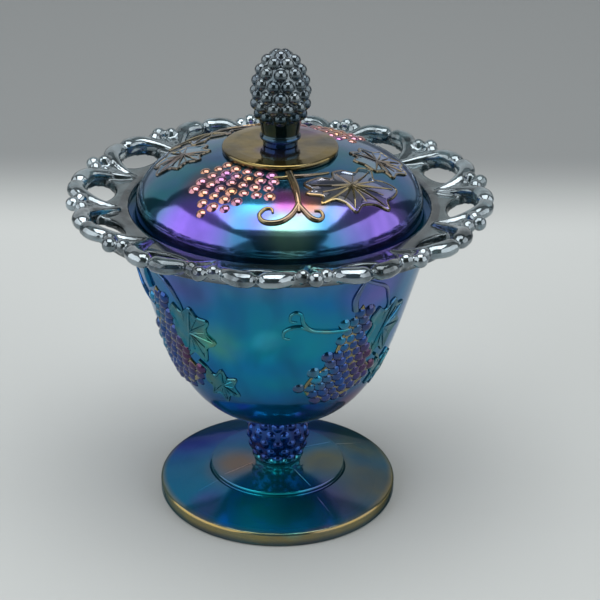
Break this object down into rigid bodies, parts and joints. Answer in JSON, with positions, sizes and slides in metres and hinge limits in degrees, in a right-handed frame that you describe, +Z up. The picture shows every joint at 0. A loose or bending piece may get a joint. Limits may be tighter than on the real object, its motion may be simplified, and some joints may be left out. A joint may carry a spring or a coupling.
{
  "type": "covered glass compote",
  "caption": "Footed bowl in pressed lustre glass with an open lace rim, a grape-cluster stem and a lift-off domed lid with a grape finial.",
  "frame": {"origin": "centre of the foot's resting face, on the axis of the bowl", "axes": "+Z is up along the axis of the bowl, through the finial; -Y is the front and +X the right-hand side"},
  "size_m": [0.1892, 0.1892, 0.2158],
  "materials": {
    "foot_glass": "fire-polished blue glass with a teal, violet and gold lustre",
    "bowl_glass": "fire-polished blue glass with a teal and purple lustre",
    "rim_glass": "fire-polished smoky blue glass with a silver lustre",
    "lid_glass": "fire-polished blue glass with a violet and teal lustre",
    "collar_glass": "fire-polished blue glass with a heavy gold lustre",
    "finial_glass": "fire-polished blue glass with a steel-blue lustre"
  },
  "bodies": {
    "compote": {"foot": "foot_glass", "stem": "bowl_glass", "bowl": "bowl_glass", "lace_rim": "rim_glass"},
    "lid": {"lid_dome": "lid_glass", "lid_collar": "collar_glass", "finial": "finial_glass"}
  },
  "joints": [
    {"name": "lid_lift", "type": "slide", "parent": "compote", "child": "lid", "axis": [0, 0, 1], "range_m": [0, 0.1]}
  ]
}
